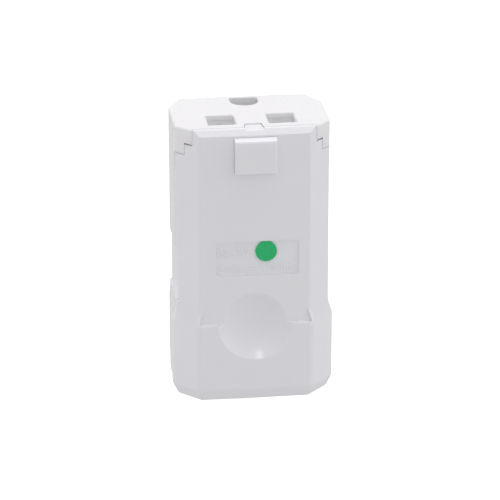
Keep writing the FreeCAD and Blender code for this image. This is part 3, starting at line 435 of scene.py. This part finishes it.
def gap(first, second):
    """Shortest distance between two edges."""
    best = FAR
    for one, other in ((first, second), (second, first)):
        start, end = (vert.co for vert in other.verts)
        for vert in one.verts:
            share = intersect_point_line(vert.co, start, end)[1]
            nearest = start.lerp(end, min(max(share, 0.0), 1.0))
            best = min(best, (nearest - vert.co).length)
    return best


def room(edge):
    """Widest rounding that the two faces beside an edge leave room for."""
    widest = FAR
    for face in edge.link_faces:
        for other in face.edges:
            if other is edge:
                continue
            shared = set(edge.verts) & set(other.verts)
            if not shared:
                widest = min(widest, gap(edge, other) * FACE_SHARE)
                continue
            corner = shared.pop()
            along = edge.other_vert(corner).co - corner.co
            beside = other.other_vert(corner).co - corner.co
            angle = along.angle(beside, math.pi)
            if angle < OPEN_CORNER:
                shorter = min(along.length, beside.length)
                widest = min(widest, shorter / 2 * math.tan(angle / 2))
    return widest


def smooth_runs(edges):
    """Sharp edges grouped into the runs that go on without a corner."""
    waiting = set(edges)
    sharp = set(edges)
    runs = []
    while waiting:
        run = [waiting.pop()]
        for edge in run:
            for vert in edge.verts:
                onward = [other for other in vert.link_edges
                          if other in sharp and other is not edge]
                if len(onward) != 1 or onward[0] not in waiting:
                    continue
                back = edge.other_vert(vert).co - vert.co
                ahead = onward[0].other_vert(vert).co - vert.co
                if back.angle(ahead, 0.0) > STRAIGHT_ENOUGH:
                    waiting.discard(onward[0])
                    run.append(onward[0])
        runs.append(run)
    return runs


def neighbours(name):
    """Search trees of all the other nodes."""
    trees = []
    for other, item in NODES.items():
        if other != name:
            corners = [vert.co for vert in item.data.vertices]
            trees.append(BVHTree.FromPolygons(
                corners, [tuple(face.vertices) for face in item.data.polygons]))
    return trees


def at_a_seam(run, trees):
    """Whether a run of edges lies along another piece."""
    for edge in run:
        middle = (edge.verts[0].co + edge.verts[1].co) / 2
        if not any(tree.find_nearest(middle, SEAM)[0] for tree in trees):
            return False
    return True


def weigh_edges(bm, name, width):
    """Give each run of sharp edges as much of the rounding as it has room for.

    Edges along a seam stay nearly sharp, as the moulds leave them, so seams look thin.
    """
    weight = bm.edges.layers.float.new("bevel_weight_edge")
    sharp = [edge for edge in bm.edges
             if len(edge.link_faces) == 2 and edge.calc_face_angle() > SHARP]
    trees = neighbours(name)
    for run in smooth_runs(sharp):
        if sum(edge.calc_length() for edge in run) < SHORTEST_RUN:
            continue
        most = SEAM_ROUNDING if at_a_seam(run, trees) else width
        share = min(most, width, min(room(edge) for edge in run)) / width
        if share * width >= LEAST_ROUNDING:
            for edge in run:
                edge[weight] = share
    hold_corners(bm, weight)


def hold_corners(bm, weight):
    """Add a point near both ends of each long rounding, to keep a corner's shading there."""
    for edge in [edge for edge in bm.edges if edge[weight] and edge.calc_length() > LONG_EDGE]:
        for vert in tuple(edge.verts):
            bmesh.utils.edge_split(edge, vert, CORNER_REACH / edge.calc_length())


def new_piece(name, bm, material, rounding=None):
    """Object at the origin from a bmesh, with its weighed edges rounded."""
    mesh = bpy.data.meshes.new(name)
    bm.to_mesh(mesh)
    bm.free()
    mesh.materials.append(material)
    mesh.shade_smooth()
    mesh.set_sharp_from_angle(angle=SHARP)
    piece = bpy.data.objects.new(name, mesh)
    bpy.context.collection.objects.link(piece)
    if rounding:
        bevel = piece.modifiers.new("Edges", "BEVEL")
        bevel.limit_method = "WEIGHT"
        bevel.width = rounding
        bevel.segments = ROUNDING_STEPS
        bevel.use_clamp_overlap = False
    weighted = piece.modifiers.new("Flat faces", "WEIGHTED_NORMAL")
    weighted.keep_sharp = True
    return piece


def frame_copy(name):
    """Clean copy of a node's mesh: doubles merged and flat faces joined."""
    bm = bmesh.new()
    bm.from_mesh(NODES[name].data)
    bmesh.ops.remove_doubles(bm, verts=bm.verts, dist=SAME_POINT)
    bmesh.ops.dissolve_limit(bm, angle_limit=SAME_FLAT, verts=bm.verts, edges=bm.edges,
                             delimit={"NORMAL"})
    bmesh.ops.dissolve_degenerate(bm, dist=SAME_POINT, edges=bm.edges)
    return bm


def dress(name, bm, rounding):
    """Show a bmesh with rounded edges in place of its node."""
    piece = new_piece(name + "_dressed", bm, finish(record_slot(name)), rounding)
    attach(piece, body_holding(name))
    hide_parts(name)
    return piece


def dress_all(names, rounding):
    """Show nodes as clean copies with rounded edges."""
    for name in names:
        bm = frame_copy(name)
        weigh_edges(bm, name, rounding)
        dress(name, bm, rounding)


def shift_flats(bm, places, by, above):
    """Move the upright flats at these distances from the middle outwards by a hair."""
    for vert in bm.verts:
        x = abs(vert.co.x)
        if vert.co.z > above and any(abs(x - place) < ON_PLACE for place in places):
            vert.co.x += math.copysign(by, vert.co.x)


def clear_scoop_rim(bm):
    """Take out the points of the scoop that crowd its rim, to leave room for a rounding."""
    ball = [vert for vert in bm.verts
            if abs((vert.co - SCOOP_CENTRE).length - SCOOP_BALL) < ON_BALL]
    rim = [vert for vert in ball
           if any(edge.calc_face_angle(math.pi) > SHARP for edge in vert.link_edges)]
    crowd = [vert for vert in ball if vert not in rim
             and min((vert.co - other.co).length for other in rim) < RIM_CLEARANCE]
    bmesh.ops.dissolve_verts(bm, verts=crowd)


class CONNECTOR_OT_housing(bpy.types.Operator):
    """Front cover, rear shell and face with rounded moulded edges"""

    bl_idname = "connector.housing"
    bl_label = "Housing"

    def execute(self, context):
        bm = frame_copy("front_cover")
        # A row of points just under the top bevel keeps the bevel's shading off the long
        # strips of the rounded corners.
        bmesh.ops.bisect_plane(bm, geom=[*bm.verts, *bm.edges, *bm.faces],
                               plane_co=(0, 0, UNDER_BEVEL_Z), plane_no=(0, 0, 1))
        clear_scoop_rim(bm)
        shift_flats(bm, EAR_SEAMS_X, SEAM_CLOSING, EAR_FOOT_Z)
        weigh_edges(bm, "front_cover", sizes().edge)
        dress("front_cover", bm, sizes().edge)
        dress_all(("rear_shell", "face_block"), sizes().edge)
        return {"FINISHED"}


class CONNECTOR_OT_latch(bpy.types.Operator):
    """Push latch, fitted closely into its window"""

    bl_idname = "connector.latch"
    bl_label = "Latch"

    def execute(self, context):
        bm = frame_copy("latch_tab")
        shift_flats(bm, (LATCH_HALF_WIDTH,), SEAM_CLOSING, 0)
        for vert in bm.verts:
            spoke = Vector((0, vert.co.y - LATCH_AXIS[0], vert.co.z - LATCH_AXIS[1]))
            if abs(spoke.length - LATCH_SWING_RADIUS) < ON_PLACE:
                vert.co += spoke.normalized() * SWING_CLOSING
        weigh_edges(bm, "latch_tab", sizes().edge)
        dress("latch_tab", bm, sizes().edge)
        return {"FINISHED"}


class CONNECTOR_OT_inner(bpy.types.Operator):
    """Contact block, cord clamp and grommet"""

    bl_idname = "connector.inner"
    bl_label = "Inner mouldings"

    def execute(self, context):
        dress_all(("contact_carrier", "cord_saddle", "clamp_bar", "cord_grommet", "green_dot"),
                  sizes().edge)
        return {"FINISHED"}


class CONNECTOR_OT_metal(bpy.types.Operator):
    """Contacts, nut plates, nuts and pins"""

    bl_idname = "connector.metal"
    bl_label = "Metal parts"

    def execute(self, context):
        dress_all(("line_contact", "neutral_contact", "ground_contact", "line_nut_plate",
                   "neutral_nut_plate", "ground_nut_plate", "clamp_nuts", "hinge_pins",
                   "latch_pin"), sizes().metal_edge)
        return {"FINISHED"}


def thread(bm, centre, start, end):
    """Threaded shank along +Y: a core with a closed ridge wound round it."""
    pitch = sizes().pitch
    root = SCREW_RADIUS - THREAD_DEPTH * pitch
    bmesh.ops.create_cone(
        bm, cap_ends=True, segments=THREAD_STEPS, radius1=root, radius2=root, depth=end - start,
        matrix=Matrix.Translation((centre.x, (start + end) / 2, centre.z))
        @ Matrix.Rotation(math.pi / 2, 4, "X"))
    turns = math.floor((end - start) / pitch) - 1
    profile = [*((root - THREAD_OVERLAP, share) for share in THREAD_ROOT),
               *((SCREW_RADIUS, share) for share in THREAD_CREST)]
    corners = [bm.verts.new((centre.x + reach, start + (share + THREAD_OFFSET) * pitch,
                             centre.z)) for reach, share in profile]
    ridge = bm.faces.new(corners)
    bmesh.ops.spin(
        bm, geom=[ridge, *ridge.edges, *corners], cent=(centre.x, start, centre.z), axis=(0, 1, 0),
        dvec=(0, pitch / THREAD_STEPS, 0), angle=2 * math.pi * turns,
        steps=THREAD_STEPS * turns)


class CONNECTOR_OT_screws(bpy.types.Operator):
    """Terminal and clamp screws with threaded shanks"""

    bl_idname = "connector.screws"
    bl_label = "Screws"

    def execute(self, context):
        for name in ("line_screw", "neutral_screw", "ground_screw", "clamp_screw_left",
                     "clamp_screw_right"):
            low, high = (Vector(corner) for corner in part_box(name))
            centre = (low + high) / 2
            seat = low.y + SCREW_HEAD + UNDER_HEAD
            bm = frame_copy(name)
            bmesh.ops.bisect_plane(bm, geom=[*bm.verts, *bm.edges, *bm.faces],
                                   plane_co=(0, seat, 0), plane_no=(0, 1, 0), clear_outer=True)
            bmesh.ops.holes_fill(bm, edges=bm.edges)
            weigh_edges(bm, name, sizes().metal_edge)
            thread(bm, centre, seat, high.y)
            bmesh.ops.recalc_face_normals(bm, faces=bm.faces)
            dress(name, bm, sizes().metal_edge)
        return {"FINISHED"}


class CONNECTOR_OT_rating(bpy.types.Operator):
    """Raised rating in the recessed panel"""

    bl_idname = "connector.rating"
    bl_label = "Rating"

    def execute(self, context):
        relief = sizes().relief
        whole = bmesh.new()
        for words, left, base, width, height in RATING:
            curve = bpy.data.curves.new("words", "FONT")
            curve.body = words
            curve.extrude = 0.5
            curve.offset = TYPE_FATTENING
            curve.resolution_u = TYPE_CURVE_STEPS
            text = bpy.data.objects.new("words", curve)
            context.collection.objects.link(text)
            bm = bmesh.new()
            bm.from_mesh(bpy.data.meshes.new_from_object(text))
            bpy.data.objects.remove(text)
            bmesh.ops.remove_doubles(bm, verts=bm.verts, dist=TYPE_SAME_POINT)
            xs = [vert.co.x for vert in bm.verts]
            ys = [vert.co.y for vert in bm.verts]
            bmesh.ops.translate(bm, vec=(-min(xs), -min(ys), 0), verts=bm.verts)
            bmesh.ops.scale(bm, vec=(width / (max(xs) - min(xs)), height / (max(ys) - min(ys)),
                                     2 * relief), verts=bm.verts)
            bmesh.ops.rotate(bm, cent=(0, 0, 0), matrix=Matrix.Rotation(math.pi / 2, 3, "X"),
                             verts=bm.verts)
            bmesh.ops.translate(bm, vec=(left, PANEL_FLOOR_Y, base), verts=bm.verts)
            row = bpy.data.meshes.new("row")
            bm.to_mesh(row)
            bm.free()
            whole.from_mesh(row)
        bmesh.ops.recalc_face_normals(whole, faces=whole.faces)
        piece = new_piece("rating", whole, finish("rating"))
        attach(piece, "cover")
        return {"FINISHED"}


class CONNECTOR_OT_stage(bpy.types.Operator):
    """White paper, soft lights and the camera"""

    bl_idname = "connector.stage"
    bl_label = "Stage"

    def execute(self, context):
        bm = bmesh.new()
        bmesh.ops.create_grid(bm, x_segments=1, y_segments=1, size=PAPER_REACH)
        mesh = bpy.data.meshes.new("paper")
        bm.to_mesh(mesh)
        bm.free()
        mesh.materials.append(studio_paper("Studio paper"))
        mesh.transform(Matrix.Translation((0, 0, PAPER_Z)))
        paper = bpy.data.objects.new("paper", mesh)
        context.collection.objects.link(paper)
        # Only the camera sees the paper, so the part's light comes from the room alone.
        paper.visible_diffuse = False
        paper.visible_glossy = False
        paper.visible_shadow = False

        world = bpy.data.worlds.new("Studio")
        context.scene.world = world
        context.scene.view_settings.view_transform = "Standard"
        world.use_nodes = True
        tree = world.node_tree
        way = add_node(tree, "ShaderNodeTexCoord").outputs["Generated"]
        upward = add_node(tree, "ShaderNodeSeparateXYZ", {0: way}).outputs["Z"]
        glow = add_node(tree, "ShaderNodeMapRange",
                        {"Value": upward, "From Min": -HORIZON, "From Max": HORIZON,
                         "To Min": studio().ground, "To Max": studio().sky})
        tree.links.new(glow.outputs[0], tree.nodes["Background"].inputs["Strength"])
        tree.nodes["Background"].inputs["Color"].default_value = (1, 1, 1, 1)

        face_z = FRAME_BOX[1][2]
        middle = Vector((0, 0, face_z / 2))
        for name, place, side, power in PANELS:
            light = bpy.data.lights.new(name, "AREA")
            light.shape = "SQUARE"
            light.size = side
            light.energy = getattr(studio(), power)
            lamp = bpy.data.objects.new(name, light)
            lamp.visible_diffuse = name != "gloss panel"
            lamp.location = place
            lamp.rotation_euler = (middle - Vector(place)).to_track_quat("-Z", "Y").to_euler()
            context.collection.objects.link(lamp)

        turn, rise, distance = studio().turn, studio().rise, studio().distance
        aim = Vector((AIM_X, 0, face_z - AIM_BELOW_FACE))
        back = Vector((math.sin(turn) * math.cos(rise), -math.cos(turn) * math.cos(rise),
                       math.sin(rise)))
        lens = bpy.data.cameras.new("camera")
        lens.lens = studio().lens
        lens.sensor_width = SENSOR_MM
        camera = bpy.data.objects.new("camera", lens)
        camera.location = aim + back * distance
        camera.rotation_euler = (-back).to_track_quat("-Z", "Y").to_euler()
        context.collection.objects.link(camera)
        context.scene.camera = camera
        return {"FINISHED"}


class CONNECTOR_PT_panel(bpy.types.Panel):
    """Lists the steps and their settings"""

    bl_label = "Cord connector"
    bl_idname = "CONNECTOR_PT_panel"
    bl_space_type = "VIEW_3D"
    bl_region_type = "UI"
    bl_category = "Connector"

    def draw(self, context):
        for group in (sizes(), colours(), studio()):
            for name in group.bl_rna.properties.keys():
                if name not in ("name", "rna_type"):
                    self.layout.prop(group, name)
        for operator in OPERATORS:
            self.layout.operator(operator.bl_idname)


OPERATORS = (CONNECTOR_OT_housing, CONNECTOR_OT_latch, CONNECTOR_OT_inner, CONNECTOR_OT_metal,
             CONNECTOR_OT_screws, CONNECTOR_OT_rating, CONNECTOR_OT_stage)
CLASSES = (ConnectorColours, ConnectorSizes, ConnectorStudio, *OPERATORS, CONNECTOR_PT_panel)


def register():
    """Register the classes and the settings of the scene."""
    for cls in CLASSES:
        bpy.utils.register_class(cls)
    bpy.types.Scene.connector_colours = bpy.props.PointerProperty(type=ConnectorColours)
    bpy.types.Scene.connector_sizes = bpy.props.PointerProperty(type=ConnectorSizes)
    bpy.types.Scene.connector_studio = bpy.props.PointerProperty(type=ConnectorStudio)


def unregister():
    """Take the settings and the classes away again."""
    del bpy.types.Scene.connector_studio
    del bpy.types.Scene.connector_sizes
    del bpy.types.Scene.connector_colours
    for cls in reversed(CLASSES):
        bpy.utils.unregister_class(cls)


def main():
    """Build every piece in order."""
    register()
    bpy.ops.connector.housing()
    bpy.ops.connector.latch()
    bpy.ops.connector.inner()
    bpy.ops.connector.metal()
    bpy.ops.connector.screws()
    bpy.ops.connector.rating()
    bpy.ops.connector.stage()


if __name__ == "__main__":
    main()
